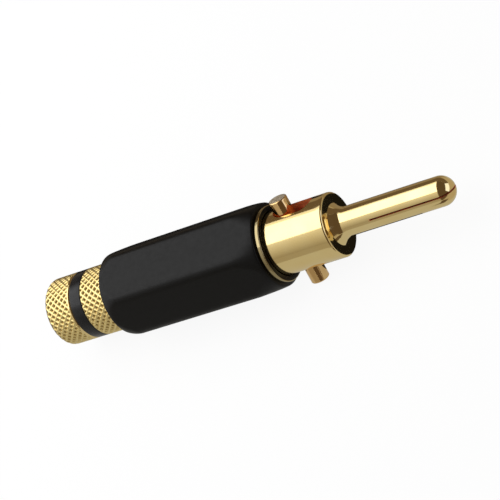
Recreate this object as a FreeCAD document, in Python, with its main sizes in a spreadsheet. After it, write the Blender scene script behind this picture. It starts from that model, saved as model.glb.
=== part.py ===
import FreeCAD, Part
import math
import os
from types import SimpleNamespace

import Sketcher
from FreeCAD import Placement, Rotation, Vector

# A locking banana plug. Its axis is X and the contact pin points along +X.
# The origin lies on the axis at the collar's front face, where the pin starts.
# Stations are distances along the axis from that face. The plug lies on one
# flat of its hexagonal sleeve, so +Z is up.

SIZES = {
    # contact pin
    "pin_radius": 2.0,
    "pin_length": 17.2,
    "pin_root_round": 1.2,
    "slit_width": 0.4,
    "slit_start": 5.3,
    # collar and its two slots
    "collar_radius": 4.42,
    "collar_chamfer": 0.25,
    "collar_length": 15.0,
    "collar_front_wall": 0.9,
    "slot_front": 2.0,
    "slot_side_gap": 0.35,
    "slot_front_gap": 0.1,
    "slot_rear_gap": 0.2,
    # cross pin
    "cross_pin_radius": 1.3,
    "upper_peg_length": 1.63,
    "lower_peg_length": 2.23,
    "cross_pin_chamfer": 0.25,
    "cross_pin_roll_angle": -43.5,
    # plunger with its rod
    "lock_travel": 3.0,
    "plunger_front_wall": 0.7,
    "plunger_rear_wall": 1.1,
    "plunger_chamfer": 0.2,
    "rod_radius": 0.7,
    "tip_length": 1.2,
    "tip_radius": 0.25,
    "tip_gap": 0.1,
    "nose_wall": 2.7,
    # return spring
    "spring_wire_width": 0.3,
    "spring_side_gap": 0.15,
    "spring_seat": 2.6,
    "spring_turns": 4.0,
    "spring_end_gap": 0.03,
    # hollow shank behind the collar
    "thread_step": 0.42,
    "thread_length": 11.5,
    "relief_depth": 0.7,
    "relief_length": 1.0,
    "shank_wall": 0.75,
    "tail_step": 0.5,
    "tail_wall": 0.7,
    "tail_in_nut": 6.15,
    "tail_chamfer": 0.3,
    "collet_bore_depth": 12.0,
    # thrust ring in the sleeve's mouth
    "ring_gap": 1.5,
    "ring_bore_gap": 0.1,
    "flange_step": 0.35,
    "flange_thickness": 0.75,
    "spigot_wall": 0.43,
    "spigot_length": 2.8,
    "spigot_end_gap": 0.2,
    # hexagonal sleeve
    "sleeve_length": 25.55,
    "sleeve_end_wall": 0.8,
    "sleeve_end_step": 0.05,
    "corner_round": 1.0,
    "sleeve_front_angle": 19.0,
    "sleeve_rear_angle": 27.0,
    "sleeve_bore_gap": 0.08,
    "sleeve_tail_bore_gap": 0.1,
    # thread insert
    "insert_inset": 11.05,
    "insert_step": 0.4,
    "insert_length": 6.0,
    # clamp nut and its colour ring
    "nut_gap": 0.35,
    "nut_groove_wall": 0.75,
    "nut_edge_chamfer": 0.15,
    "nut_rear_chamfer": 0.45,
    "nut_rear_wall": 1.85,
    "cable_bore_gap": 0.4,
    "cable_bore_chamfer": 0.3,
    "colour_ring_start": 3.85,
    "colour_ring_width": 1.9,
    "colour_ring_wall": 0.55,
    # clamp collet
    "collet_length": 5.8,
    "collet_wall": 0.55,
    "collet_head_gap": 0.3,
    "collet_head_length": 2.0,
    "collet_head_taper": 0.85,
    "collet_end_gap": 0.05,
    "collet_slit_width": 0.5,
    "collet_solid_length": 2.0,
    "collet_slits": 4,
    # radial clearance of every running fit
    "running_gap": 0.05,
}

SHEET = "Sizes"
HALF = 0.5
TAN_30 = math.tan(math.radians(30))


class Dim:
    """A length that carries its value and the formula that drives it."""

    def __init__(self, value, formula):
        self.value = value
        self.formula = formula

    def __add__(self, other):
        return combine(self, "+", other)

    def __sub__(self, other):
        return combine(self, "-", other)

    def __mul__(self, other):
        return combine(self, "*", other)

    def __truediv__(self, other):
        return combine(self, "/", other)

    def __neg__(self):
        return Dim(-self.value, f"(-{self.formula})")


def as_dim(thing):
    if isinstance(thing, Dim):
        return thing
    return Dim(float(thing), f"{thing}")


def combine(left, sign, right):
    right = as_dim(right)
    results = {
        "+": left.value + right.value,
        "-": left.value - right.value,
        "*": left.value * right.value,
        "/": left.value / (right.value or 1.0),
    }
    return Dim(results[sign], f"({left.formula} {sign} {right.formula})")


def make_sheet(doc):
    sheet = doc.addObject("Spreadsheet::Sheet", SHEET)
    for row, (name, value) in enumerate(SIZES.items(), start=1):
        sheet.set(f"A{row}", name)
        sheet.set(f"B{row}", str(value))
        sheet.setAlias(f"B{row}", name)
    doc.recompute()
    dims = {name: Dim(float(value), f"{SHEET}.{name}") for name, value in SIZES.items()}
    return SimpleNamespace(**dims)


def new_body(doc, name):
    body = doc.addObject("PartDesign::Body", name)
    body.Label = name
    return body


def turn_about_axis(body, angle):
    body.Placement = Placement(Vector(), Rotation(Vector(1, 0, 0), angle.value))
    body.setExpression("Placement.Rotation.Angle", angle.formula)


def new_sketch(body, name, plane):
    sketch = body.newObject("Sketcher::SketchObject", name)
    planes = {feature.Role: feature for feature in body.Origin.OriginFeatures}
    sketch.AttachmentSupport = (planes[plane], "")
    sketch.MapMode = "FlatFace"
    return sketch


def drive(sketch, kind, *arguments):
    """Add a constraint whose last argument is a Dim and bind it to the sheet."""
    *places, size = arguments
    size = as_dim(size)
    index = sketch.addConstraint(Sketcher.Constraint(kind, *places, size.value))
    sketch.setExpression(f"Constraints[{index}]", size.formula)


def corner(across, up, bend=None, left=True):
    """A corner of an outline; with a bend, an arc of that radius leaves it."""
    return SimpleNamespace(across=across, up=up, bend=bend, left=left)


def point_of(spot):
    return Vector(as_dim(spot.across).value, as_dim(spot.up).value, 0)


def add_arc(sketch, start, end, radius, left):
    """Add the arc from start to end, its centre on the left or right hand."""
    chord = end - start
    reach = math.sqrt(max(radius ** 2 - (chord.Length / 2) ** 2, 0))
    side = Vector(-chord.y, chord.x, 0).normalize()
    centre = (start + end) * HALF + side * (reach if left else -reach)
    first, last = (start, end) if left else (end, start)
    angles = [math.atan2(p.y - centre.y, p.x - centre.x) for p in (first, last)]
    circle = Part.Circle(centre, Vector(0, 0, 1), radius)
    return sketch.addGeometry(Part.ArcOfCircle(circle, *angles))


def draw_outline(sketch, corners):
    """Draw a closed outline and tie every corner to its two distances."""
    edges = []
    for here, following in zip(corners, corners[1:] + corners[:1]):
        start, end = point_of(here), point_of(following)
        if here.bend is None:
            edge = sketch.addGeometry(Part.LineSegment(start, end))
            edges.append((edge, 1, 2))
        else:
            edge = add_arc(sketch, start, end, here.bend.value, here.left)
            edges.append((edge, 1, 2) if here.left else (edge, 2, 1))
    for (edge, _, end), (following, start, _) in zip(edges, edges[1:] + edges[:1]):
        sketch.addConstraint(Sketcher.Constraint("Coincident", edge, end, following, start))
    for spot, (edge, start, _) in zip(corners, edges):
        drive(sketch, "DistanceX", -1, 1, edge, start, spot.across)
        drive(sketch, "DistanceY", -1, 1, edge, start, spot.up)
        if spot.bend is not None:
            drive(sketch, "Radius", edge, spot.bend)


def turn(doc, body, name, corners, kind="PartDesign::Revolution"):
    """Turn an outline of stations and radii once round the X axis."""
    sketch = new_sketch(body, f"{name}_outline", "XZ_Plane")
    draw_outline(sketch, corners)
    feature = body.newObject(kind, name)
    feature.Profile = sketch
    feature.ReferenceAxis = (sketch, ["H_Axis"])
    feature.Angle = 360
    doc.recompute()
    return feature


def cut_through(doc, body, name, sketch):
    """Cut a sketch through the whole body, both ways from its plane."""
    feature = body.newObject("PartDesign::Pocket", name)
    feature.Profile = sketch
    feature.Type = "ThroughAll"
    feature.Midplane = True
    doc.recompute()
    return feature


def draw_slot(sketch, front, rear, half_width):
    """Draw a slot on the axis from its rear station to its front one."""
    ends = [rear + half_width, front - half_width]
    centres = [Vector(end.value, 0, 0) for end in ends]
    radius = half_width.value
    up = Vector(0, radius, 0)
    turns = [(HALF * math.pi, 3 * HALF * math.pi), (-HALF * math.pi, HALF * math.pi)]
    arcs = []
    for centre, angles in zip(centres, turns):
        circle = Part.Circle(centre, Vector(0, 0, 1), radius)
        arcs.append(sketch.addGeometry(Part.ArcOfCircle(circle, *angles)))
    lower = sketch.addGeometry(Part.LineSegment(centres[0] - up, centres[1] - up))
    upper = sketch.addGeometry(Part.LineSegment(centres[1] + up, centres[0] + up))
    loop = [arcs[0], lower, arcs[1], upper]
    for edge, following in zip(loop, loop[1:] + loop[:1]):
        sketch.addConstraint(Sketcher.Constraint("Tangent", edge, 2, following, 1))
    for arc, end in zip(arcs, ends):
        sketch.addConstraint(Sketcher.Constraint("PointOnObject", arc, 3, -1))
        drive(sketch, "DistanceX", -1, 1, arc, 3, end)
    drive(sketch, "Radius", arcs[0], half_width)
    sketch.addConstraint(Sketcher.Constraint("Equal", arcs[0], arcs[1]))


def work_out_stations(s):
    """Stations that more than one piece is built to."""
    p = SimpleNamespace()
    p.slot_front = -s.slot_front
    p.cross_pin = p.slot_front - s.slot_front_gap - s.cross_pin_radius - s.lock_travel
    p.slot_rear = p.cross_pin - s.cross_pin_radius - s.slot_rear_gap
    p.plunger_front = p.cross_pin + s.cross_pin_radius + s.plunger_front_wall
    p.plunger_rear = p.cross_pin - s.cross_pin_radius - s.plunger_rear_wall
    p.plunger_bore_front = -s.collar_front_wall
    p.rod_bore_end = s.pin_length - s.nose_wall - s.tip_length
    p.rod_reach = p.rod_bore_end - s.tip_gap - s.lock_travel
    p.collar_rear = -s.collar_length
    p.thread_front = p.collar_rear - s.relief_length
    p.thread_rear = p.thread_front - s.thread_length
    p.ring_front = p.cross_pin - s.cross_pin_radius - s.ring_gap
    p.sleeve_front = p.ring_front - s.flange_thickness
    p.spigot_end = p.sleeve_front - s.spigot_length
    p.counterbore_end = p.spigot_end - s.spigot_end_gap
    p.sleeve_rear = p.sleeve_front - s.sleeve_length
    p.insert_front = p.sleeve_front - s.insert_inset
    p.insert_rear = p.insert_front - s.insert_length
    p.nut_front = p.sleeve_rear - s.nut_gap
    p.colour_ring_front = p.nut_front - s.colour_ring_start
    p.colour_ring_rear = p.colour_ring_front - s.colour_ring_width
    p.shank_end = p.nut_front - s.tail_in_nut
    p.collet_bore_front = p.shank_end + s.collet_bore_depth
    p.collet_head_front = p.shank_end - s.collet_head_gap
    p.collet_front = p.collet_head_front + s.collet_length
    p.collet_end = p.collet_head_front - s.collet_head_length
    p.nut_cone_end = p.collet_end - s.collet_end_gap
    p.nut_rear = p.nut_cone_end - s.nut_rear_wall
    return p


def work_out_radii(s):
    """Radii of the pieces, each taken from the one it fits or holds."""
    r = SimpleNamespace()
    r.rod_bore = s.rod_radius + s.running_gap
    r.spring = s.rod_radius + s.spring_side_gap + s.spring_wire_width * HALF
    r.spring_bore = r.spring + s.spring_wire_width * HALF + s.spring_side_gap
    r.thread = s.collar_radius - s.thread_step
    r.relief = r.thread - s.relief_depth
    r.plunger_bore = r.relief - s.shank_wall
    r.plunger = r.plunger_bore - s.running_gap
    r.tail = r.thread - s.tail_step
    r.tail_bore = r.tail - s.tail_wall
    r.collet = r.tail_bore - s.running_gap
    r.collet_bore = r.collet - s.collet_wall
    r.collet_head_end = r.tail - s.collet_head_taper
    r.cable_bore = r.collet_bore + s.cable_bore_gap
    r.nut_bore = r.tail + s.running_gap
    r.nut_groove = r.nut_bore + s.nut_groove_wall
    r.nut = r.nut_groove + s.colour_ring_wall
    r.ring_bore = s.collar_radius + s.ring_bore_gap
    r.spigot = r.ring_bore + s.spigot_wall
    r.flange = r.spigot + s.flange_step
    r.counterbore = r.spigot + s.running_gap
    r.sleeve_end = r.counterbore + s.sleeve_end_wall
    r.flat = r.sleeve_end + s.sleeve_end_step
    r.sleeve_bore = s.collar_radius + s.sleeve_bore_gap
    r.sleeve_tail_bore = r.thread + s.sleeve_tail_bore_gap
    r.insert = r.sleeve_bore + s.insert_step
    return r


def contact_body(doc, s, p, r):
    """Pin, collar and hollow shank, turned in one piece, then slotted and slit."""
    body = new_body(doc, "contact_body")
    turn_about_axis(body, s.cross_pin_roll_angle)
    root = s.pin_radius + s.pin_root_round
    outline = [
        corner(s.pin_length, 0, bend=s.pin_radius),
        corner(s.pin_length - s.pin_radius, s.pin_radius),
        corner(s.pin_root_round, s.pin_radius, bend=s.pin_root_round, left=False),
        corner(0, root),
        corner(0, s.collar_radius - s.collar_chamfer),
        corner(-s.collar_chamfer, s.collar_radius),
        corner(p.collar_rear, s.collar_radius),
        corner(p.collar_rear, r.relief),
        corner(p.thread_front, r.relief),
        corner(p.thread_front - s.relief_depth, r.thread),
        corner(p.thread_rear + s.tail_step, r.thread),
        corner(p.thread_rear, r.tail),
        corner(p.shank_end + s.tail_chamfer, r.tail),
        corner(p.shank_end, r.tail - s.tail_chamfer),
        corner(p.shank_end, r.tail_bore),
        corner(p.collet_bore_front, r.tail_bore),
        corner(p.collet_bore_front, r.plunger_bore),
        corner(p.plunger_bore_front, r.plunger_bore),
        corner(p.plunger_bore_front, r.spring_bore),
        corner(s.spring_seat, r.spring_bore),
        corner(s.spring_seat, r.rod_bore),
        corner(p.rod_bore_end, r.rod_bore),
        corner(p.rod_bore_end + s.tip_length, s.tip_radius),
        corner(p.rod_bore_end + s.tip_length, 0),
    ]
    turn(doc, body, "turned_contact", outline)
    slot = new_sketch(body, "collar_slot_outline", "XY_Plane")
    draw_slot(slot, p.slot_front, p.slot_rear, s.cross_pin_radius + s.slot_side_gap)
    cut_through(doc, body, "collar_slot", slot)
    slit = new_sketch(body, "pin_slit_outline", "XZ_Plane")
    half_slit = s.slit_width * HALF
    slit_end = s.pin_length + s.pin_radius
    draw_outline(slit, [
        corner(s.slit_start, -half_slit),
        corner(slit_end, -half_slit),
        corner(slit_end, half_slit),
        corner(s.slit_start, half_slit),
    ])
    cut_through(doc, body, "pin_slit", slit)
    return body


def spreader_rod(doc, s, p, r):
    """Plunger that carries the cross pin, and the rod that spreads the pin."""
    body = new_body(doc, "spreader_rod")
    turn_about_axis(body, s.cross_pin_roll_angle)
    turn(doc, body, "turned_rod", [
        corner(p.rod_reach + s.tip_length, 0),
        corner(p.rod_reach + s.tip_length, s.tip_radius),
        corner(p.rod_reach, s.rod_radius),
        corner(p.plunger_front, s.rod_radius),
        corner(p.plunger_front, r.plunger - s.plunger_chamfer),
        corner(p.plunger_front - s.plunger_chamfer, r.plunger),
        corner(p.plunger_rear + s.plunger_chamfer, r.plunger),
        corner(p.plunger_rear, r.plunger - s.plunger_chamfer),
        corner(p.plunger_rear, 0),
    ])
    hole = new_sketch(body, "cross_hole_outline", "XY_Plane")
    circle = Part.Circle(Vector(p.cross_pin.value, 0, 0), Vector(0, 0, 1), s.cross_pin_radius.value)
    edge = hole.addGeometry(circle)
    hole.addConstraint(Sketcher.Constraint("PointOnObject", edge, 3, -1))
    drive(hole, "DistanceX", -1, 1, edge, 3, p.cross_pin)
    drive(hole, "Radius", edge, s.cross_pin_radius)
    cut_through(doc, body, "cross_hole", hole)
    return body


def cross_pin(doc, s, p, r):
    """Smooth rod with chamfered ends, modelled upright and then laid across."""
    body = new_body(doc, "cross_pin")
    sketch = new_sketch(body, "cross_pin_outline", "XZ_Plane")
    inner = s.cross_pin_radius - s.cross_pin_chamfer
    foot = -(s.collar_radius + s.lower_peg_length)
    top = s.collar_radius + s.upper_peg_length
    draw_outline(sketch, [
        corner(0, foot),
        corner(inner, foot),
        corner(s.cross_pin_radius, foot + s.cross_pin_chamfer),
        corner(s.cross_pin_radius, top - s.cross_pin_chamfer),
        corner(inner, top),
        corner(0, top),
    ])
    feature = body.newObject("PartDesign::Revolution", "turned_cross_pin")
    feature.Profile = sketch
    feature.ReferenceAxis = (sketch, ["V_Axis"])
    feature.Angle = 360
    turn_about_axis(body, s.cross_pin_roll_angle)
    body.setExpression("Placement.Base.x", p.cross_pin.formula)
    return body


def return_spring(doc, s, p, r):
    """Square wire coil spring round the rod, from the plunger to its seat in the pin."""
    body = new_body(doc, "return_spring")
    inset = s.spring_wire_width * HALF + s.spring_end_gap
    first = p.plunger_front + inset
    height = s.spring_seat - p.plunger_front - inset * 2
    sketch = new_sketch(body, "spring_wire", "XZ_Plane")
    half_wire = s.spring_wire_width * HALF
    inner = r.spring - half_wire
    outer = r.spring + half_wire
    draw_outline(sketch, [
        corner(first - half_wire, inner),
        corner(first + half_wire, inner),
        corner(first + half_wire, outer),
        corner(first - half_wire, outer),
    ])
    doc.recompute()
    feature = body.newObject("PartDesign::AdditiveHelix", "spring_coils")
    feature.Profile = sketch
    feature.ReferenceAxis = (sketch, ["H_Axis"])
    feature.Mode = "height-turns-angle"
    feature.setExpression("Height", height.formula)
    feature.setExpression("Turns", s.spring_turns.formula)
    return body


def thrust_ring(doc, s, p, r):
    """Flanged ring that runs on the collar and bears on the pegs."""
    body = new_body(doc, "thrust_ring")
    turn(doc, body, "turned_ring", [
        corner(p.ring_front, r.ring_bore),
        corner(p.ring_front, r.flange),
        corner(p.sleeve_front, r.flange),
        corner(p.sleeve_front, r.spigot),
        corner(p.spigot_end, r.spigot),
        corner(p.spigot_end, r.ring_bore),
    ])
    return body


def insert_outline(p, r, bore):
    """Outline of the thread insert, closed along a bore of this radius."""
    return [
        corner(p.insert_front, bore),
        corner(p.insert_front, r.insert),
        corner(p.insert_rear, r.insert),
        corner(p.insert_rear, bore),
    ]


def thread_insert(doc, s, p, r):
    """Threaded bush held in a pocket of the sleeve; it runs on the shank's thread."""
    body = new_body(doc, "thread_insert")
    turn(doc, body, "turned_insert", insert_outline(p, r, r.thread + s.running_gap))
    return body


def round_long_corners(doc, body, pad, s):
    """Round the six long edges of the hexagonal bar."""
    length = s.sleeve_length.value
    names = []
    for number, edge in enumerate(pad.Shape.Edges, start=1):
        start, end = (vertex.Point for vertex in edge.Vertexes)
        if math.isclose(abs(end.x - start.x), length, rel_tol=1e-6):
            names.append(f"Edge{number}")
    feature = body.newObject("PartDesign::Fillet", "rounded_corners")
    feature.Base = (pad, names)
    feature.setExpression("Radius", s.corner_round.formula)
    doc.recompute()


def cone_run(rise, angle):
    """How far along the bar an end cone runs for its rise."""
    slope = math.tan(math.radians(angle.value))
    return rise / Dim(slope, f"tan({angle.formula} * 1 deg)")


def turn_down_end(doc, body, name, end, run, inner, outer):
    """Cut a shallow cone on one end of the hexagonal bar, its run towards the bar's middle."""
    turn(doc, body, name, [
        corner(end, inner),
        corner(end + run, outer),
        corner(end - run, outer),
        corner(end - run, inner),
    ], kind="PartDesign::Groove")


def hex_sleeve(doc, s, p, r):
    """Hexagonal grip with turned down ends, bored for the ring and the insert."""
    body = new_body(doc, "hex_sleeve")
    half_side = r.flat * TAN_30
    side = half_side * 2
    sketch = new_sketch(body, "hexagon", "YZ_Plane")
    draw_outline(sketch, [
        corner(side, 0),
        corner(half_side, r.flat),
        corner(-half_side, r.flat),
        corner(-side, 0),
        corner(-half_side, -r.flat),
        corner(half_side, -r.flat),
    ])
    sketch.AttachmentOffset = Placement(Vector(0, 0, p.sleeve_rear.value), Rotation())
    sketch.setExpression("AttachmentOffset.Base.z", p.sleeve_rear.formula)
    pad = body.newObject("PartDesign::Pad", "hexagonal_bar")
    pad.Profile = sketch
    pad.setExpression("Length", s.sleeve_length.formula)
    doc.recompute()
    round_long_corners(doc, body, pad, s)
    clear = r.sleeve_end + side
    front_run = -cone_run(side, s.sleeve_front_angle)
    rear_run = cone_run(side, s.sleeve_rear_angle)
    turn_down_end(doc, body, "front_cone", p.sleeve_front, front_run, r.sleeve_end, clear)
    turn_down_end(doc, body, "rear_cone", p.sleeve_rear, rear_run, r.sleeve_end, clear)
    turn(doc, body, "sleeve_bore", [
        corner(p.sleeve_front, 0),
        corner(p.sleeve_front, r.counterbore),
        corner(p.counterbore_end, r.counterbore),
        corner(p.counterbore_end, r.sleeve_bore),
        corner(p.insert_front, r.sleeve_bore),
        corner(p.insert_front, r.sleeve_tail_bore),
        corner(p.sleeve_rear, r.sleeve_tail_bore),
        corner(p.sleeve_rear, 0),
    ], kind="PartDesign::Groove")
    turn(doc, body, "insert_pocket", insert_outline(p, r, r.thread), kind="PartDesign::Groove")
    return body


def clamp_nut(doc, s, p, r):
    """Hollow nut: thread, closing cone and cable bore inside, ring groove outside."""
    body = new_body(doc, "clamp_nut")
    edge = s.nut_edge_chamfer
    turn(doc, body, "turned_nut", [
        corner(p.nut_front, r.nut_bore),
        corner(p.nut_front, r.nut - edge),
        corner(p.nut_front - edge, r.nut),
        corner(p.colour_ring_front, r.nut),
        corner(p.colour_ring_front, r.nut_groove),
        corner(p.colour_ring_rear, r.nut_groove),
        corner(p.colour_ring_rear, r.nut - edge),
        corner(p.colour_ring_rear - edge, r.nut),
        corner(p.nut_rear + s.nut_rear_chamfer, r.nut),
        corner(p.nut_rear, r.nut - s.nut_rear_chamfer),
        corner(p.nut_rear, r.cable_bore + s.cable_bore_chamfer),
        corner(p.nut_rear + s.cable_bore_chamfer, r.cable_bore),
        corner(p.nut_cone_end, r.cable_bore),
        corner(p.nut_cone_end, r.collet_head_end + s.running_gap),
        corner(p.collet_head_front, r.nut_bore),
    ])
    return body


def colour_ring(doc, s, p, r):
    """Plain ring that fills the nut's groove."""
    body = new_body(doc, "colour_ring")
    turn(doc, body, "moulded_ring", [
        corner(p.colour_ring_front, r.nut_groove),
        corner(p.colour_ring_front, r.nut),
        corner(p.colour_ring_rear, r.nut),
        corner(p.colour_ring_rear, r.nut_groove),
    ])
    return body


def clamp_collet(doc, s, p, r):
    """Slit collet: its jaws lie in the shank and its cone in the nut."""
    body = new_body(doc, "clamp_collet")
    turn(doc, body, "turned_collet", [
        corner(p.collet_front, r.collet_bore),
        corner(p.collet_front, r.collet),
        corner(p.collet_head_front, r.collet),
        corner(p.collet_head_front, r.tail),
        corner(p.collet_end, r.collet_head_end),
        corner(p.collet_end, r.collet_bore),
    ])
    sketch = new_sketch(body, "jaw_slit_outline", "XY_Plane")
    half_slit = s.collet_slit_width * HALF
    slit_front = p.collet_front - s.collet_solid_length
    slit_end = p.collet_end - s.collet_slit_width
    draw_outline(sketch, [
        corner(slit_end, -half_slit),
        corner(slit_front, -half_slit),
        corner(slit_front, half_slit),
        corner(slit_end, half_slit),
    ])
    slit = body.newObject("PartDesign::Pocket", "jaw_slit")
    slit.Profile = sketch
    slit.Reversed = True
    slit.setExpression("Length", (r.tail * 2).formula)
    doc.recompute()
    jaws = body.newObject("PartDesign::PolarPattern", "jaw_slits")
    jaws.Originals = [slit]
    jaws.Axis = (sketch, ["H_Axis"])
    jaws.Angle = 360
    jaws.setExpression("Occurrences", s.collet_slits.formula)
    body.Tip = jaws
    return body


def check(doc, pieces):
    for thing in doc.Objects:
        if "Invalid" in thing.State or "Error" in thing.State:
            raise RuntimeError(f"{thing.Label} was not made: {thing.State}")
    for piece in pieces:
        shape = piece.Shape
        if shape.isNull() or not shape.isValid() or len(shape.Solids) != 1:
            raise RuntimeError(f"{piece.Label} is not one valid solid")


def check_cuts(doc):
    """Every cut has to leave less material than it found."""
    for thing in doc.Objects:
        if thing.TypeId in ("PartDesign::Pocket", "PartDesign::Groove"):
            before = thing.BaseFeature.Shape.Volume
            if not thing.Shape.Volume < before - 1e-6:
                raise RuntimeError(f"{thing.Label} cuts nothing")


def main():
    doc = FreeCAD.newDocument("banana_plug")
    sizes = make_sheet(doc)
    stations = work_out_stations(sizes)
    radii = work_out_radii(sizes)
    makers = (
        contact_body,
        spreader_rod,
        cross_pin,
        return_spring,
        thrust_ring,
        hex_sleeve,
        thread_insert,
        clamp_nut,
        colour_ring,
        clamp_collet,
    )
    pieces = [make(doc, sizes, stations, radii) for make in makers]
    doc.recompute()
    check(doc, pieces)
    check_cuts(doc)
    os.makedirs("parts", exist_ok=True)
    for piece in pieces:
        piece.Shape.exportStep(f"parts/{piece.Label}.step")
        box = piece.Shape.BoundBox
        print(f"{piece.Label}: {piece.Shape.Volume:.2f} mm3, X {box.XMin:.2f} to {box.XMax:.2f}")


main()
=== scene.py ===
import math

import bmesh
import bpy
from mathutils import Euler, Matrix, Vector


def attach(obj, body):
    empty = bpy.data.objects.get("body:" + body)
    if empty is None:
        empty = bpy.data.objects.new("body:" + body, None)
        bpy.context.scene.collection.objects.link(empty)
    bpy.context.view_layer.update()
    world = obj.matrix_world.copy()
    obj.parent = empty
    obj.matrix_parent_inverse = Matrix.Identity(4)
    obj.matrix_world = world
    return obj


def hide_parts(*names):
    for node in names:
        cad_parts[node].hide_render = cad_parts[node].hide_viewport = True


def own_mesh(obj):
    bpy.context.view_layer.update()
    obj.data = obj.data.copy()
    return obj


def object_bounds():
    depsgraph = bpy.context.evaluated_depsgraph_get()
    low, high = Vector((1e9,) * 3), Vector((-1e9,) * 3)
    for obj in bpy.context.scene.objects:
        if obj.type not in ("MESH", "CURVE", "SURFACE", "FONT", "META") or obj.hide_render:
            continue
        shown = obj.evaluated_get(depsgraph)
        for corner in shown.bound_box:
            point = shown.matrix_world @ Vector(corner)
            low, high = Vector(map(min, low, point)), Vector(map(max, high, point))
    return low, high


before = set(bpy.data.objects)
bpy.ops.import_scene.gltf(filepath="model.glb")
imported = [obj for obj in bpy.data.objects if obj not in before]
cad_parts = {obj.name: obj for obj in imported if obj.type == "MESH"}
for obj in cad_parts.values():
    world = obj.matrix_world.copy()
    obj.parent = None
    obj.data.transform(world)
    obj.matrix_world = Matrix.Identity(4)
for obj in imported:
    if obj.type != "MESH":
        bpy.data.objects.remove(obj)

CAD_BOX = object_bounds()

# Lengths are written in millimetres, and MM turns them into metres. Stations
# run along the plug's axis from the collar's front face, and rise towards the
# pin's tip.
MM = 0.001
FULL_TURN = 2 * math.pi
SEAM = 1e-4 * MM
SLIVER = 1e-5 * MM

# How far the slots and the cross pin are rolled round the axis.
ROLL = math.radians(-43.5)

# Contact pin and collar.
PIN_TIP = 17.2
PIN_RADIUS = 2.0
NOSE_FLAT = 0.002
FLARE_RADIUS = 2.87
FLARE_LENGTH = 0.91
FLARE_EASE = 0.65
SLIT_START = 5.3
SLIT_WIDTH = 0.24
COLLAR_RADIUS = 4.42
COLLAR_REAR = -15.0
SLOT_FRONT = -2.0
SLOT_REAR = -7.9
SLOT_WIDTH = 3.3
CLEAR_OF_COLLAR = 6.0

# Hollow shank behind the collar, and its bores.
NECK_RADIUS = 3.3
NECK_REAR = -16.0
SHANK_RADIUS = 4.0
SHANK_FRONT = -16.7
SHANK_REAR = -27.0
TAIL_RADIUS = 3.2
TAIL_FRONT = -27.5
TAIL_REAR = -42.0
CABLE_BORE_RADIUS = 2.8
CABLE_BORE_END = -30.0
COLLAR_BORE_RADIUS = 2.55
COLLAR_BORE_END = -0.9
SPRING_BORE_RADIUS = 1.3
ROD_BORE_RADIUS = 0.75
ROD_BORE_TAPER = 13.3
ROD_BORE_END = 14.5
ROD_BORE_TIP_RADIUS = 0.25

# Thread at the tail.
THREAD_FOOT = 3.15
THREAD_CREST = 3.5
THREAD_START = -28.1
THREAD_PITCH = 1.0
THREAD_TURNS = 13

# Cross pin, plunger and spring.
CROSS_PIN_STATION = -6.4
CROSS_PIN_RADIUS = 1.3
CROSS_PIN_TOP = 6.05
CROSS_PIN_FOOT = -6.65
PLUNGER_FRONT = -4.4
PLUNGER_REAR = -8.8
PLUNGER_RADIUS = 2.5
ROD_RADIUS = 0.7
ROD_TAPER = 10.2
ROD_TIP = 11.4
ROD_TIP_RADIUS = 0.25
SPRING_SEAT = 2.6
SPRING_TURNS = 4
SPRING_WIRE = 0.3
SPRING_GAP = 0.03

# Ring in the mouth of the sleeve.
RING_FRONT = -9.2
RING_REAR = -12.75
RING_BORE_RADIUS = 4.52
RING_TUBE_RADIUS = 4.95
FLANGE_RADIUS = 5.3
SHADE_FACE_RADIUS = 5.2

# Hexagonal sleeve.
SLEEVE_FRONT = -9.95
SLEEVE_REAR = -35.5
APOTHEM = 5.849
CORNER_ROUND = 1.0
SLEEVE_END_RADIUS = 5.8
FRONT_SLOPE = math.tan(math.radians(19))
REAR_SLOPE = math.tan(math.radians(27))
CONE_RISE = 1.2
CONE_STEPS = 24
CREASE = 0.2
MOUTH_RADIUS = 5.0
MOUTH_END = -12.95
COLLAR_ROOM_RADIUS = 4.5
INSERT_FRONT = -21.0
INSERT_RADIUS = 4.9
INSERT_REAR = -27.0
TAIL_ROOM_RADIUS = 4.1

# Knurled nut and its groove.
NUT_FRONT = -35.85
NUT_REAR = -46.2
NUT_RADIUS = 4.85
GROOVE_RADIUS = 4.3
GROOVE_FRONT = -39.7
GROOVE_REAR = -41.6
NUT_BORE_RADIUS = 3.55
NUT_BORE_END = -42.3
CABLE_HOLE_FRONT = -44.35
CABLE_HOLE_RADIUS = 2.6
LAND_WIDTH = 0.35
KNURL_DEPTH = 0.26
KNURL_FROM_RADIUS = GROOVE_RADIUS + 0.1
KNURL_RUN_OUT = 0.12
RIDGE_CREST = 0.85
DIAMONDS_ROUND = 29
STEPS_PER_DIAMOND = 16
FRONT_ROWS = 56
REAR_ROWS = 67
REAR_OUTLINE_ROWS = 60


# How the pieces are made.

def ease_corners(bm, corners):
    """Round each corner of a wire outline by its own amount."""
    for amount in sorted({ease for _, ease in corners if ease}):
        group = [vert for vert, ease in corners if ease == amount]
        bmesh.ops.bevel(
            bm, geom=group, offset=amount * MM, offset_type="OFFSET",
            segments=16 if amount > 0.5 else 4, profile=0.5, material=-1,
            affect="VERTICES",
        )


def wire_outline(outline, closed):
    """A wire of stations and radii; a third number rounds that corner."""
    bm = bmesh.new()
    corners = []
    for station, radius, *ease in outline:
        vert = bm.verts.new((station * MM, 0, radius * MM))
        corners.append((vert, ease[0] if ease else 0))
    verts = [vert for vert, _ in corners]
    for pair in zip(verts, verts[1:]):
        bm.edges.new(pair)
    if closed:
        bm.edges.new((verts[-1], verts[0]))
    ease_corners(bm, corners)
    return bm


def divide_long_runs(bm, longest):
    """Divide an outline's runs that lie along the axis."""
    for edge in list(bm.edges):
        start, end = (vert.co for vert in edge.verts)
        cuts = int(abs(end.x - start.x) / (longest * MM))
        if cuts:
            bmesh.ops.subdivide_edges(bm, edges=[edge], cuts=cuts)


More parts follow.
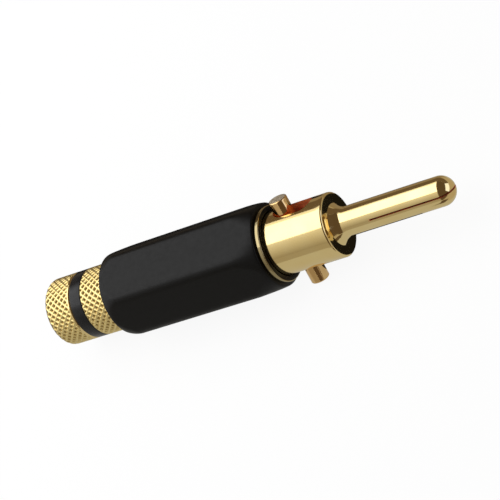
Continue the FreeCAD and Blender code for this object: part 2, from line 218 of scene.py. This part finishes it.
def divide_run(bm, start, end, rows):
    """Divide the outer run between two stations of an outline into rows."""
    for edge in list(bm.edges):
        reach = sorted(vert.co.x / MM for vert in edge.verts)
        outer = edge.verts[0].co.z > KNURL_FROM_RADIUS * MM
        if outer and abs(reach[0] - end) < 0.01 and abs(reach[1] - start) < 0.01:
            bmesh.ops.subdivide_edges(bm, edges=[edge], cuts=rows - 1)


def close_up(bm):
    """Join the seam and the poles, then point every face outwards."""
    bmesh.ops.remove_doubles(bm, verts=bm.verts, dist=SEAM)
    bmesh.ops.dissolve_degenerate(bm, edges=bm.edges, dist=SLIVER)
    bmesh.ops.recalc_face_normals(bm, faces=bm.faces)


def spin_round(bm, steps):
    """Spin an outline once round the plug's axis, into a closed solid."""
    bmesh.ops.spin(
        bm, geom=bm.verts[:] + bm.edges[:], cent=(0, 0, 0), axis=(1, 0, 0),
        dvec=(0, 0, 0), angle=FULL_TURN, steps=steps, use_merge=True,
    )
    close_up(bm)


def turned(outline, steps=192, closed=True, longest=None):
    """Turn an outline into a solid, its long runs divided first if asked."""
    bm = wire_outline(outline, closed)
    if longest:
        divide_long_runs(bm, longest)
    spin_round(bm, steps)
    return bm


def coiled(outline, pitch, turns, steps):
    """Wind a closed section round the axis like a thread, its ends capped."""
    bm = wire_outline(outline, closed=True)
    bmesh.ops.spin(
        bm, geom=bm.verts[:] + bm.edges[:], cent=(0, 0, 0), axis=(1, 0, 0),
        dvec=(pitch * MM / steps, 0, 0), angle=FULL_TURN * turns,
        steps=round(steps * turns), use_merge=False,
    )
    bmesh.ops.holes_fill(bm, edges=[e for e in bm.edges if e.is_boundary], sides=0)
    close_up(bm)
    return bm


def roll(bm, angle, axis):
    """Turn a mesh about one of the frame's axes."""
    turn = Matrix.Rotation(angle, 3, axis)
    bmesh.ops.rotate(bm, verts=bm.verts, cent=(0, 0, 0), matrix=turn)


def slide(bm, station):
    """Move a mesh along the plug's axis to a station."""
    bmesh.ops.translate(bm, verts=bm.verts, vec=(station * MM, 0, 0))


def upright_bar(radius, start, end, ease=0.0):
    """A round bar along Z, from one height to another, with eased ends."""
    outline = [(start, 0), (start, radius, ease), (end, radius, ease), (end, 0)]
    bm = turned(outline, steps=96, closed=False)
    roll(bm, -FULL_TURN / 4, "Y")
    return bm


def block(low, high):
    """A rectangular block between two corners."""
    bm = bmesh.new()
    bmesh.ops.create_cube(bm, size=1)
    low, high = Vector(low) * MM, Vector(high) * MM
    bmesh.ops.scale(bm, verts=bm.verts, vec=high - low)
    bmesh.ops.translate(bm, verts=bm.verts, vec=(low + high) / 2)
    return bm


def to_object(bm, name):
    mesh = bpy.data.meshes.new(name)
    bm.to_mesh(mesh)
    bm.free()
    made = bpy.data.objects.new(name, mesh)
    bpy.context.scene.collection.objects.link(made)
    return made


def cut(bm, cutters):
    """Cut other solids out of a solid."""
    work = to_object(bm, "work")
    tools = [to_object(cutter, "cutter") for cutter in cutters]
    for tool in tools:
        modifier = work.modifiers.new("cut", "BOOLEAN")
        modifier.operation = "DIFFERENCE"
        modifier.solver = "EXACT"
        modifier.object = tool
    shaped = work.evaluated_get(bpy.context.evaluated_depsgraph_get())
    result = bmesh.new()
    result.from_mesh(shaped.to_mesh())
    shaped.to_mesh_clear()
    for thing in (work, *tools):
        mesh = thing.data
        bpy.data.objects.remove(thing)
        bpy.data.meshes.remove(mesh)
    close_up(result)
    return result


def roll_into_place(bm):
    """Turn what is modelled with its cross pin upright to where it lies."""
    roll(bm, ROLL, "X")


def finish_piece(
    bm, name, body, materials, replaces=None, sharp=30, edge=0.0,
):
    """Make the object, ease its edges, shade it, and seat it on its body."""
    made = to_object(bm, name)
    mesh = made.data
    for face in mesh.polygons:
        face.use_smooth = True
    mesh.set_sharp_from_angle(angle=math.radians(sharp))
    if edge:
        bevel = made.modifiers.new("eased_edges", "BEVEL")
        bevel.width = edge * MM
        bevel.segments = 2
        bevel.limit_method = "ANGLE"
        bevel.angle_limit = math.radians(25)
        bevel.harden_normals = True
    for material in materials:
        mesh.materials.append(material)
    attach(made, body)
    if replaces:
        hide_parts(replaces)
    return made


# What they are made of.

class Finish:
    """A material with its shader and a few ways to lay nodes in front of it."""

    def __init__(self, name, **settings):
        self.material = bpy.data.materials.new(name)
        self.material.use_nodes = True
        self.tree = self.material.node_tree
        self.shader = self.tree.nodes["Principled BSDF"]
        for socket, value in settings.items():
            self.shader.inputs[socket.replace("_", " ")].default_value = value
        self.place = self.node("ShaderNodeTexCoord").outputs["Object"]

    def node(self, kind, **settings):
        made = self.tree.nodes.new(kind)
        for key, value in settings.items():
            setattr(made, key, value)
        return made

    def link(self, source, target):
        self.tree.links.new(source, target)

    def stretched(self, scale):
        """Object coordinates, stretched along each axis."""
        mapping = self.node("ShaderNodeMapping")
        mapping.inputs["Scale"].default_value = scale
        self.link(self.place, mapping.inputs["Vector"])
        return mapping.outputs["Vector"]

    def grain(self, scale, detail=2.0, stretch=None):
        noise = self.node("ShaderNodeTexNoise")
        noise.inputs["Scale"].default_value = scale
        noise.inputs["Detail"].default_value = detail
        place = self.stretched(stretch) if stretch else self.place
        self.link(place, noise.inputs["Vector"])
        return noise.outputs["Fac"]

    def spread(self, value, low, high, start=0.3, end=0.7):
        """Map a value between start and end onto low to high."""
        ranged = self.node("ShaderNodeMapRange")
        ranged.inputs["From Min"].default_value = start
        ranged.inputs["From Max"].default_value = end
        ranged.inputs["To Min"].default_value = low
        ranged.inputs["To Max"].default_value = high
        self.link(value, ranged.inputs["Value"])
        return ranged.outputs["Result"]

    def tint(self, value, *stops):
        """Colour by a value through a ramp of (position, colour)."""
        node = self.node("ShaderNodeValToRGB")
        ramp = node.color_ramp
        while len(ramp.elements) < len(stops):
            ramp.elements.new(1.0)
        for element, (position, colour) in zip(ramp.elements, stops):
            element.position = position
            element.color = (*colour, 1)
        self.link(value, node.inputs["Fac"])
        return node.outputs["Color"]

    def mottled(self, scale, detail, tones, start=0.3, end=0.7):
        """A fine grain that runs from a darker to a lighter tone."""
        dark, light = tones
        return self.tint(self.grain(scale, detail), (start, dark), (end, light))

    def roughness(self, value):
        self.link(value, self.shader.inputs["Roughness"])

    def colour(self, value):
        self.link(value, self.shader.inputs["Base Color"])

    def bump(self, *layers):
        """Stack bumps, each of (height, strength, distance in millimetres)."""
        normal = None
        for height, strength, distance in layers:
            bump = self.node("ShaderNodeBump")
            bump.inputs["Strength"].default_value = strength
            bump.inputs["Distance"].default_value = distance * MM
            self.link(height, bump.inputs["Height"])
            if normal:
                self.link(normal, bump.inputs["Normal"])
            normal = bump.outputs["Normal"]
        self.link(normal, self.shader.inputs["Normal"])


# The darker and the lighter tone of each finish.
PLATED_TONES = (0.98, 0.75, 0.33), (1.0, 0.80, 0.39)
# The ring's gold, darker than the plating as painted shade.
RING_SHADE_TONES = (0.40, 0.32, 0.16), (0.45, 0.37, 0.20)
ROSE_TONES = (0.86, 0.55, 0.23), (0.95, 0.66, 0.30)
# Tones of the painted shade inside the slots, the slit and on the plunger.
INNER_SHADE_TONES = (0.62, 0.13, 0.05), (0.90, 0.34, 0.13)
SAWN_TONES = (0.86, 0.78, 0.62), (0.95, 0.88, 0.74)
SATIN_TONES = (0.0008, 0.0008, 0.0008), (0.0020, 0.0019, 0.0019)
GLOSS_TONES = (0.006, 0.006, 0.007), (0.012, 0.012, 0.013)
STEEL_TONES = (0.52, 0.52, 0.53), (0.66, 0.65, 0.64)
BRASS_TONES = (0.60, 0.44, 0.18), (0.74, 0.57, 0.26)

# The knurl's colour from its pits up to its ridges, darker down the slopes and in the pits
# as painted shade.
PIT_SHADE_BROWN = (0.10, 0.055, 0.012)
SLOPE_SHADE_GOLD = (0.40, 0.27, 0.085)
RIDGE_GOLD = (0.96, 0.77, 0.34)


def polished_gold(name, tones=PLATED_TONES):
    """Mirror polished plating over fine turning marks."""
    gold = Finish(name, Metallic=1.0)
    gold.colour(gold.mottled(260, 3, tones))
    gold.roughness(gold.spread(gold.grain(900, 4), 0.06, 0.13))
    marks = gold.grain(1.0, 2, stretch=(9000, 300, 300))
    gold.bump((marks, 0.08, 0.002))
    return gold.material


def rose_gold():
    """Ground plating with a copper tone, on the cross pin."""
    gold = Finish("rose_gold", Metallic=1.0)
    gold.colour(gold.mottled(500, 3, ROSE_TONES))
    gold.roughness(gold.spread(gold.grain(1500, 4), 0.08, 0.16))
    return gold.material


def shaded_inner_gold():
    """Dull reddish gold, darkened as painted shade for the slots, the slit and the plunger
    inside.
    """
    gold = Finish("shaded_inner_gold", Metallic=0.6)
    gold.colour(gold.mottled(900, 3, INNER_SHADE_TONES, 0.35, 0.65))
    gold.roughness(gold.spread(gold.grain(2000, 3), 0.28, 0.42))
    gold.bump((gold.grain(1600, 3), 0.25, 0.05))
    return gold.material


def sawn_gold():
    """Pale matt plating on the ends of the cross pin."""
    gold = Finish("sawn_gold", Metallic=1.0)
    gold.colour(gold.mottled(1500, 3, SAWN_TONES))
    gold.roughness(gold.spread(gold.grain(4000, 3), 0.42, 0.58))
    gold.bump((gold.grain(6000, 2), 0.2, 0.01))
    return gold.material


def knurled_gold():
    """Satin plating, with painted shade that darkens it down into the pits of the knurl.
    """
    gold = Finish("knurled_gold", Metallic=1.0)
    split = gold.node("ShaderNodeSeparateXYZ")
    gold.link(gold.place, split.inputs["Vector"])
    across = gold.node("ShaderNodeCombineXYZ")
    gold.link(split.outputs["Y"], across.inputs["Y"])
    gold.link(split.outputs["Z"], across.inputs["Z"])
    radius = gold.node("ShaderNodeVectorMath", operation="LENGTH")
    gold.link(across.outputs["Vector"], radius.inputs[0])
    low, high = (NUT_RADIUS - KNURL_DEPTH) * MM, NUT_RADIUS * MM
    depth = gold.spread(radius.outputs["Value"], 0.0, 1.0, low, high)
    stops = (0.0, PIT_SHADE_BROWN), (0.35, SLOPE_SHADE_GOLD), (0.8, RIDGE_GOLD)
    gold.colour(gold.tint(depth, *stops))
    gold.roughness(gold.spread(gold.grain(2500, 3), 0.26, 0.4))
    gold.bump((gold.grain(9000, 2), 0.15, 0.01))
    return gold.material


def satin_black():
    """Fine grained anodised sleeve."""
    black = Finish("satin_black", Metallic=0.0, Specular_IOR_Level=0.22)
    black.colour(black.mottled(4000, 3, SATIN_TONES, 0.35, 0.7))
    black.roughness(black.spread(black.grain(1500, 4), 0.34, 0.46))
    black.bump((black.grain(14000, 2), 0.25, 0.01), (black.grain(3500, 2), 0.08, 0.01))
    return black.material


def gloss_black():
    """Smooth moulded ring."""
    black = Finish("gloss_black", Metallic=0.0, Specular_IOR_Level=0.3)
    black.colour(black.mottled(1200, 2, GLOSS_TONES))
    black.roughness(black.spread(black.grain(2200, 3), 0.2, 0.3))
    black.bump((black.grain(3000, 2), 0.05, 0.01))
    return black.material


def drawn_steel():
    """Bare spring wire, a little uneven in its shine."""
    steel = Finish("drawn_steel", Metallic=1.0)
    steel.colour(steel.mottled(3000, 2, STEEL_TONES))
    steel.roughness(steel.spread(steel.grain(5000, 3), 0.22, 0.36))
    return steel.material


def turned_brass():
    """Bare brass as it left the lathe."""
    brass = Finish("turned_brass", Metallic=1.0)
    brass.colour(brass.mottled(800, 3, BRASS_TONES))
    brass.roughness(brass.spread(brass.grain(3000, 3), 0.22, 0.34))
    brass.bump((brass.grain(1.0, 2, stretch=(7000, 200, 200)), 0.2, 0.004))
    return brass.material


# The pieces themselves.

def slot_cutters():
    """A bar with round ends for the collar's two slots, and a blade for the slit."""
    half = SLOT_WIDTH / 2
    rear, front = SLOT_REAR + half, SLOT_FRONT - half
    reach = CLEAR_OF_COLLAR
    cutters = [block((rear, -half, -reach), (front, half, reach))]
    for station in (rear, front):
        end = upright_bar(half, -reach, reach)
        slide(end, station)
        cutters.append(end)
    blade = SLIT_WIDTH / 2
    cutters.append(block((SLIT_START, -reach, -blade), (PIN_TIP + 1, reach, blade)))
    return cutters


def mark_inside(bm):
    """Give the slots, the slit and all that shows through them the second material, the
    painted shade.
    """
    for face in bm.faces:
        middle = face.calc_center_median() / MM
        below_skin = math.hypot(middle.y, middle.z) < COLLAR_RADIUS - 0.1
        along_slots = SLOT_REAR - 0.01 < middle.x < SLOT_FRONT + 0.01
        in_blade = abs(middle.z) < SLIT_WIDTH / 2 + 0.001
        along_slit = SLIT_START - 0.01 < middle.x < PIN_TIP - 1
        if below_skin and along_slots or in_blade and along_slit:
            face.material_index = 1


def plug_body(gold, shaded_ruddy_gold):
    """Slit pin, slotted collar and hollow shank in one turned piece."""
    bm = turned([
        (PIN_TIP, 0),
        (PIN_TIP, PIN_RADIUS, PIN_RADIUS - NOSE_FLAT),
        (FLARE_LENGTH, PIN_RADIUS, FLARE_EASE),
        (0, FLARE_RADIUS),
        (0, COLLAR_RADIUS, 0.3),
        (COLLAR_REAR, COLLAR_RADIUS, 0.08),
        (COLLAR_REAR, NECK_RADIUS),
        (NECK_REAR, NECK_RADIUS),
        (SHANK_FRONT, SHANK_RADIUS),
        (SHANK_REAR, SHANK_RADIUS),
        (TAIL_FRONT, TAIL_RADIUS),
        (TAIL_REAR + 0.2, TAIL_RADIUS),
        (TAIL_REAR, TAIL_RADIUS - 0.2),
        (TAIL_REAR, CABLE_BORE_RADIUS),
        (CABLE_BORE_END, CABLE_BORE_RADIUS),
        (CABLE_BORE_END, COLLAR_BORE_RADIUS),
        (COLLAR_BORE_END, COLLAR_BORE_RADIUS),
        (COLLAR_BORE_END, SPRING_BORE_RADIUS),
        (SPRING_SEAT, SPRING_BORE_RADIUS),
        (SPRING_SEAT, ROD_BORE_RADIUS),
        (ROD_BORE_TAPER, ROD_BORE_RADIUS),
        (ROD_BORE_END, ROD_BORE_TIP_RADIUS),
        (ROD_BORE_END, 0),
    ], closed=False, longest=0.6)
    bm = cut(bm, slot_cutters())
    mark_inside(bm)
    roll_into_place(bm)
    return finish_piece(
        bm, "plug_body", "contact", [gold, shaded_ruddy_gold],
        "contact_body", edge=0.05,
    )


def tail_thread(material):
    """Thread that the clamp nut runs on."""
    bm = coiled([
        (THREAD_START - 0.5, THREAD_FOOT),
        (THREAD_START - 0.35, THREAD_CREST),
        (THREAD_START - 0.15, THREAD_CREST),
        (THREAD_START, THREAD_FOOT),
    ], -THREAD_PITCH, THREAD_TURNS, steps=96)
    return finish_piece(bm, "tail_thread", "contact", [material])


def lock_pin(gold, matt_gold):
    """Polished rod across the collar; its sawn ends stand out as pegs."""
    bm = upright_bar(CROSS_PIN_RADIUS, CROSS_PIN_FOOT, CROSS_PIN_TOP, ease=0.2)
    for face in bm.faces:
        if abs(face.normal.z) > 0.95:
            face.material_index = 1
    slide(bm, CROSS_PIN_STATION)
    roll_into_place(bm)
    return finish_piece(
        bm, "lock_pin", "lock", [gold, matt_gold], "cross_pin",
    )


def plunger(material):
    """Plunger with its tapered rod, bored for the cross pin."""
    bm = turned([
        (ROD_TIP, 0),
        (ROD_TIP, ROD_TIP_RADIUS),
        (ROD_TAPER, ROD_RADIUS),
        (PLUNGER_FRONT, ROD_RADIUS),
        (PLUNGER_FRONT, PLUNGER_RADIUS, 0.15),
        (PLUNGER_REAR, PLUNGER_RADIUS, 0.15),
        (PLUNGER_REAR, 0),
    ], steps=96, closed=False)
    hole = upright_bar(CROSS_PIN_RADIUS, -4, 4)
    slide(hole, CROSS_PIN_STATION)
    bm = cut(bm, [hole])
    roll_into_place(bm)
    return finish_piece(
        bm, "plunger", "lock", [material], "spreader_rod",
    )


def compression_spring(material):
    """Coil spring round the plunger's rod, between the plunger and its seat."""
    wire = SPRING_WIRE
    first = PLUNGER_FRONT + SPRING_GAP
    last = SPRING_SEAT - SPRING_GAP - wire
    inner = ROD_RADIUS + 0.15
    bm = coiled([
        (first, inner, 0.07),
        (first, inner + wire, 0.07),
        (first + wire, inner + wire, 0.07),
        (first + wire, inner, 0.07),
    ], (last - first) / SPRING_TURNS, SPRING_TURNS, steps=64)
    made = finish_piece(
        bm, "compression_spring", "contact", [material],
        "return_spring",
    )
    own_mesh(made)
    return made


def collar_ring(gold, black):
    """Flanged ring in the mouth of the sleeve; its front face is painted black and its
    gold darkened, both as painted shade.
    """
    bm = turned([
        (RING_FRONT, RING_BORE_RADIUS, 0.06),
        (RING_FRONT, FLANGE_RADIUS, 0.12),
        (SLEEVE_FRONT, FLANGE_RADIUS, 0.06),
        (SLEEVE_FRONT, RING_TUBE_RADIUS),
        (RING_REAR, RING_TUBE_RADIUS),
        (RING_REAR, RING_BORE_RADIUS),
    ])
    # Flange faces inside this radius take the black, a painted shade.
    for face in bm.faces:
        middle = face.calc_center_median() / MM
        on_flange = middle.x > SLEEVE_FRONT + 0.01
        if on_flange and math.hypot(middle.y, middle.z) < SHADE_FACE_RADIUS:
            face.material_index = 1
    return finish_piece(
        bm, "collar_ring", "ring", [gold, black], "thrust_ring",
    )


def hexagon_radius(turn):
    """Distance from the axis to the rounded hexagon, at an angle round the axis."""
    off_flat = abs(turn % (math.pi / 3) - math.pi / 6)
    inner = APOTHEM - CORNER_ROUND
    if APOTHEM * math.tan(off_flat) < inner * math.tan(math.pi / 6):
        return APOTHEM / math.cos(off_flat)
    off_corner = math.pi / 6 - off_flat
    middle = inner / math.cos(math.pi / 6)
    reach = CORNER_ROUND ** 2 - (middle * math.sin(off_corner)) ** 2
    return middle * math.cos(off_corner) + math.sqrt(reach)


def soft_lower(first, second, blend):
    """The lower of two radii, with the crease between them rounded off."""
    overlap = max(blend - abs(first - second), 0)
    return min(first, second) - overlap ** 2 / (4 * blend)


def cone_outline(end, slope):
    """An end of the grip's outline, rising until it is clear of the corners."""
    steps = [0, *range(4, CONE_STEPS + 1)]
    return [
        (
            end + CONE_RISE / slope * step / CONE_STEPS,
            SLEEVE_END_RADIUS + CONE_RISE * step / CONE_STEPS,
        )
        for step in steps
    ]


def grip(material):
    """Hexagonal grip with soft corners and ends turned down to a shallow cone."""
    front = cone_outline(SLEEVE_FRONT, -FRONT_SLOPE)
    rear = cone_outline(SLEEVE_REAR, REAR_SLOPE)
    bm = turned([
        (SLEEVE_FRONT, MOUTH_RADIUS),
        (*front[0], 0.15),
        *front[1:],
        *reversed(rear[1:]),
        (*rear[0], 0.15),
        (SLEEVE_REAR, TAIL_ROOM_RADIUS),
        (INSERT_REAR, TAIL_ROOM_RADIUS),
        (INSERT_REAR, INSERT_RADIUS),
        (INSERT_FRONT, INSERT_RADIUS),
        (INSERT_FRONT, COLLAR_ROOM_RADIUS),
        (MOUTH_END, COLLAR_ROOM_RADIUS),
        (MOUTH_END, MOUTH_RADIUS),
    ], steps=480)
    for vert in bm.verts:
        _, y, z = vert.co / MM
        radius = math.hypot(y, z)
        if radius > MOUTH_RADIUS + 0.1:
            hexagon = hexagon_radius(math.atan2(z, y))
            lowered = soft_lower(radius, hexagon, CREASE + hexagon - APOTHEM)
            vert.co.y *= lowered / radius
            vert.co.z *= lowered / radius
    bm.normal_update()
    return finish_piece(
        bm, "grip", "sleeve", [material], "hex_sleeve", sharp=40,
    )


def knurl(bm, bands):
    """Press crossing ridges into the bands, leaving a pit in each diamond."""
    for vert in bm.verts:
        x, y, z = vert.co / MM
        radius = math.hypot(y, z)
        for start, end, rows in bands:
            if radius < KNURL_FROM_RADIUS or not end - 1e-4 <= x <= start + 1e-4:
                continue
            pitch = (start - end) / rows * STEPS_PER_DIAMOND
            along = (start - x) / pitch
            around = math.atan2(z, y) / FULL_TURN * DIAMONDS_ROUND
            ridge = max(abs((along + sign * around) % 1 - 0.5) * 2 for sign in (1, -1))
            height = min(ridge / RIDGE_CREST, 1)
            fade = min((start - x) / KNURL_RUN_OUT, (x - end) / KNURL_RUN_OUT, 1)
            sunk = radius - KNURL_DEPTH * (1 - height) * max(fade, 0)
            vert.co.y *= sunk / radius
            vert.co.z *= sunk / radius


def knob(satin_gold, gold):
    """Clamp nut: two knurled bands with a groove between for the ring."""
    front_start, front_end = NUT_FRONT - 0.15, GROOVE_FRONT + 0.12
    rear_start, rear_end = GROOVE_REAR - LAND_WIDTH, NUT_REAR + 0.08
    rear_round = 0.7
    bm = wire_outline([
        (NUT_FRONT, NUT_BORE_RADIUS),
        (NUT_FRONT, NUT_RADIUS - 0.15),
        (front_start, NUT_RADIUS),
        (front_end, NUT_RADIUS),
        (GROOVE_FRONT, NUT_RADIUS - 0.12),
        (GROOVE_FRONT, GROOVE_RADIUS),
        (GROOVE_REAR, GROOVE_RADIUS),
        (GROOVE_REAR, NUT_RADIUS - 0.25),
        (GROOVE_REAR - 0.25, NUT_RADIUS),
        (rear_start, NUT_RADIUS),
        (NUT_REAR, NUT_RADIUS, rear_round),
        (NUT_REAR, CABLE_HOLE_RADIUS + 0.3),
        (NUT_REAR + 0.3, CABLE_HOLE_RADIUS),
        (CABLE_HOLE_FRONT, CABLE_HOLE_RADIUS),
        (CABLE_HOLE_FRONT, CABLE_HOLE_RADIUS + 0.1),
        (NUT_BORE_END, NUT_BORE_RADIUS),
    ], closed=True)
    divide_run(bm, front_start, front_end, FRONT_ROWS)
    divide_run(bm, rear_start, NUT_REAR + rear_round, REAR_OUTLINE_ROWS)
    spin_round(bm, DIAMONDS_ROUND * STEPS_PER_DIAMOND)
    knurl(bm, [(front_start, front_end, FRONT_ROWS), (rear_start, rear_end, REAR_ROWS)])
    bmesh.ops.recalc_face_normals(bm, faces=bm.faces)
    for face in bm.faces:
        middle = face.calc_center_median() / MM
        on_land = rear_start < middle.x < GROOVE_REAR
        if on_land and math.hypot(middle.y, middle.z) > NUT_RADIUS - 0.2:
            face.material_index = 1
    return finish_piece(
        bm, "knob", "nut", [satin_gold, gold], "clamp_nut", sharp=50,
    )


def marker_ring(material):
    """Smooth ring that fills the knob's groove."""
    bm = turned([
        (GROOVE_FRONT - 0.02, GROOVE_RADIUS),
        (GROOVE_FRONT - 0.02, NUT_RADIUS - 0.01, 0.12),
        (GROOVE_REAR + 0.02, NUT_RADIUS - 0.01, 0.12),
        (GROOVE_REAR + 0.02, GROOVE_RADIUS),
    ])
    return finish_piece(
        bm, "marker_ring", "nut", [material], "colour_ring",
    )


gold = polished_gold("polished_gold")
brass = turned_brass()
shaded_ruddy_gold = shaded_inner_gold()
black = satin_black()

plug_body(gold, shaded_ruddy_gold)
tail_thread(gold)
lock_pin(rose_gold(), sawn_gold())
plunger(shaded_ruddy_gold)
compression_spring(drawn_steel())
collar_ring(polished_gold("shaded_ring_gold", RING_SHADE_TONES), black)
grip(black)
knob(knurled_gold(), gold)
marker_ring(gloss_black())

for node, material in (("thread_insert", brass), ("clamp_collet", gold)):
    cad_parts[node].data.materials.clear()
    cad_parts[node].data.materials.append(material)


# Floor, light and camera.

FLOOR = CAD_BOX[0].z
FLOOR_REACH = 4
PAPER_WHITE = 0.92
TENT_STRENGTH = 0.5


def seen_white(tree, shader, share):
    """White over a share of the shader, for what the camera and reflections see."""
    path = tree.nodes.new("ShaderNodeLightPath")
    seen = path.outputs["Is Camera Ray"]
    for name in ("Is Glossy Ray", "Is Transmission Ray"):
        both = tree.nodes.new("ShaderNodeMath")
        both.operation = "MAXIMUM"
        tree.links.new(seen, both.inputs[0])
        tree.links.new(path.outputs[name], both.inputs[1])
        seen = both.outputs["Value"]
    scaled = tree.nodes.new("ShaderNodeMath")
    scaled.operation = "MULTIPLY"
    scaled.inputs[1].default_value = share
    tree.links.new(seen, scaled.inputs[0])
    of_world = shader.bl_idname == "ShaderNodeBackground"
    glow = tree.nodes.new("ShaderNodeBackground" if of_world else "ShaderNodeEmission")
    glow.inputs["Color"].default_value = (1, 1, 1, 1)
    glow.inputs["Strength"].default_value = 1.0
    mix = tree.nodes.new("ShaderNodeMixShader")
    tree.links.new(scaled.outputs["Value"], mix.inputs["Fac"])
    tree.links.new(shader.outputs[0], mix.inputs[1])
    tree.links.new(glow.outputs[0], mix.inputs[2])
    return mix.outputs["Shader"]


def floor():
    """A wide sheet of white paper just under the plug."""
    bm = bmesh.new()
    bmesh.ops.create_grid(bm, x_segments=1, y_segments=1, size=FLOOR_REACH)
    bmesh.ops.translate(bm, verts=bm.verts, vec=(0, 0, FLOOR))
    made = to_object(bm, "floor")
    paper = Finish("white_paper", Roughness=0.9)
    paper.shader.inputs["Base Color"].default_value = (0.9, 0.9, 0.9, 1)
    output = paper.tree.nodes["Material Output"]
    white = seen_white(paper.tree, paper.shader, PAPER_WHITE)
    paper.link(white, output.inputs["Surface"])
    made.data.materials.append(paper.material)


def white_world():
    """An even white tent round the plug."""
    world = bpy.data.worlds.new("white_tent")
    world.use_nodes = True
    tree = world.node_tree
    tent = tree.nodes["Background"]
    tent.inputs["Color"].default_value = (1, 1, 1, 1)
    tent.inputs["Strength"].default_value = TENT_STRENGTH
    output = tree.nodes["World Output"]
    tree.links.new(seen_white(tree, tent, 1.0), output.inputs["Surface"])
    bpy.context.scene.world = world


def card(name, corners, low, high=None):
    """A card that only reflections see, shaded from its first edge to its third."""
    bm = bmesh.new()
    verts = [bm.verts.new(Vector(corner) * MM) for corner in corners]
    face = bm.faces.new(verts)
    shade = bm.loops.layers.uv.new("shade")
    for loop, spot in zip(face.loops, ((0, 0), (1, 0), (1, 1), (0, 1))):
        loop[shade].uv = spot
    made = to_object(bm, name)
    material = bpy.data.materials.new(name)
    material.use_nodes = True
    tree = material.node_tree
    tree.nodes.remove(tree.nodes["Principled BSDF"])
    glow = tree.nodes.new("ShaderNodeEmission")
    place = tree.nodes.new("ShaderNodeTexCoord")
    split = tree.nodes.new("ShaderNodeSeparateXYZ")
    tree.links.new(place.outputs["UV"], split.inputs["Vector"])
    blend = tree.nodes.new("ShaderNodeMix")
    blend.data_type = "RGBA"
    tree.links.new(split.outputs["Y"], blend.inputs["Factor"])
    blend.inputs["A"].default_value = (*low, 1)
    blend.inputs["B"].default_value = (*(high or low), 1)
    tree.links.new(blend.outputs["Result"], glow.inputs["Color"])
    output = tree.nodes["Material Output"]
    tree.links.new(glow.outputs["Emission"], output.inputs["Surface"])
    made.data.materials.append(material)
    made.visible_camera = False
    made.visible_diffuse = False
    made.visible_transmission = False
    made.visible_volume_scatter = False
    made.visible_shadow = False


def ring_point(angle, distance, x=0):
    """A point off the plug's axis, at an angle from +Y towards +Z."""
    turned_by = math.radians(angle)
    return (x, distance * math.cos(turned_by), distance * math.sin(turned_by))


def long_card(name, first, second, left, right, low, high=None):
    """A card that runs along the plug, between two lines beside it."""
    card(name, [
        ring_point(*first, left), ring_point(*first, right),
        ring_point(*second, right), ring_point(*second, left),
    ], low, high)


def floor_card(name, low_corner, high_corner, height, shade):
    """A card that lies a little above the floor."""
    (x0, y0), (x1, y1) = low_corner, high_corner
    z = FLOOR / MM + height
    card(name, [(x0, y0, z), (x1, y0, z), (x1, y1, z), (x0, y1, z)], shade)


def softbox(name, angle, distance, x, length, width, radiance):
    """A soft rectangular light that faces the plug's axis."""
    light = bpy.data.lights.new(name, "AREA")
    light.shape = "RECTANGLE"
    light.size = length * MM
    light.size_y = width * MM
    light.energy = radiance * math.pi * light.size * light.size_y
    made = bpy.data.objects.new(name, light)
    made.location = Vector(ring_point(angle, distance, x)) * MM
    made.rotation_euler = Euler((math.radians(angle - 90), 0, 0))
    made.visible_camera = False
    bpy.context.scene.collection.objects.link(made)


# Shades of the cards: glowing sheets that only reflections see, painted reflections of a
# studio round the plug.
BLACK = (0, 0, 0)
DUSK = (0.10, 0.07, 0.045)
BROWN = (0.13, 0.095, 0.065)
CREAM = (0.78, 0.76, 0.72)
SHADE = (0.30, 0.27, 0.22)
FOOT_SHADE = (0.34, 0.31, 0.26)
SKY = (1.05, 1.15, 1.5)
FLOOR_SAND = (0.42, 0.37, 0.30)
FLOOR_GREY = (0.46, 0.45, 0.42)
FLOOR_BROWN = (0.26, 0.21, 0.15)
PIN_SHADOW_BLACK = (0.01, 0.009, 0.008)
GRIP_SHADOW_BLACK = (0.02, 0.02, 0.02)


def end_card(name, station, left, right, low, high, shade):
    """A card across the end of the room, in front of the pin."""
    card(name, [
        (station, left, low), (station, right, low),
        (station, right, high), (station, left, high),
    ], shade)


floor()
white_world()
softbox("overhead_softbox", 76, 160, -167, 350, 200, 1.9)
long_card("softbox_back", (44, 191), (108, 191), -342, 8, BLACK)
long_card("back_card", (-12, 125), (34, 150), -200, 330, BROWN)
long_card("front_card", (109, 175), (163, 140), -320, 8, CREAM, SHADE)
long_card("front_foot", (163, 140), (183, 140), -320, 8, FOOT_SHADE)
long_card("dark_canopy", (34, 190), (112, 190), 8, 330, DUSK)
long_card("dark_side", (109, 175), (183, 140), 8, 330, DUSK)
end_card("dark_end", 330, -300, 300, -6, 250, DUSK)
end_card("bright_end", 200, -68, 130, -5, 100, SKY)
# Floor cards: painted reflections of the floor in shades darker than the white paper, as
# painted shade; the ones under the pin and the grip are the plug's painted contact shadow.
floor_card("far_floor_card", (19, -300), (200, 300), 0.03, FLOOR_SAND)
floor_card("dark_floor_card", (8, -60), (24, -13), 0.04, DUSK)
floor_card("grey_floor_card", (-320, -150), (19, 9), 0.02, FLOOR_GREY)
floor_card("brown_floor_card", (-320, 9), (19, 125), 0.02, FLOOR_BROWN)
floor_card("grey_nose_card", (9.5, -3), (19, 12), 0.05, FLOOR_GREY)
floor_card("pin_shadow_card", (-8, -3), (9.5, 9), 0.05, PIN_SHADOW_BLACK)
floor_card("grip_shadow_card", (-60, -2), (-8, 22), 0.05, GRIP_SHADOW_BLACK)

lens = bpy.data.cameras.new("camera")
lens.lens = 135.454
lens.sensor_width = 36
lens.clip_start = 0.01
lens.clip_end = 20
camera = bpy.data.objects.new("camera", lens)
camera.location = Vector((114.459, -90.521, 196.073)) * MM
tilt = (18.2945, 34.7901, -5.1696)
camera.rotation_euler = Euler([math.radians(angle) for angle in tilt])
bpy.context.scene.collection.objects.link(camera)
bpy.context.scene.camera = camera
bpy.context.scene.view_settings.view_transform = "Standard"
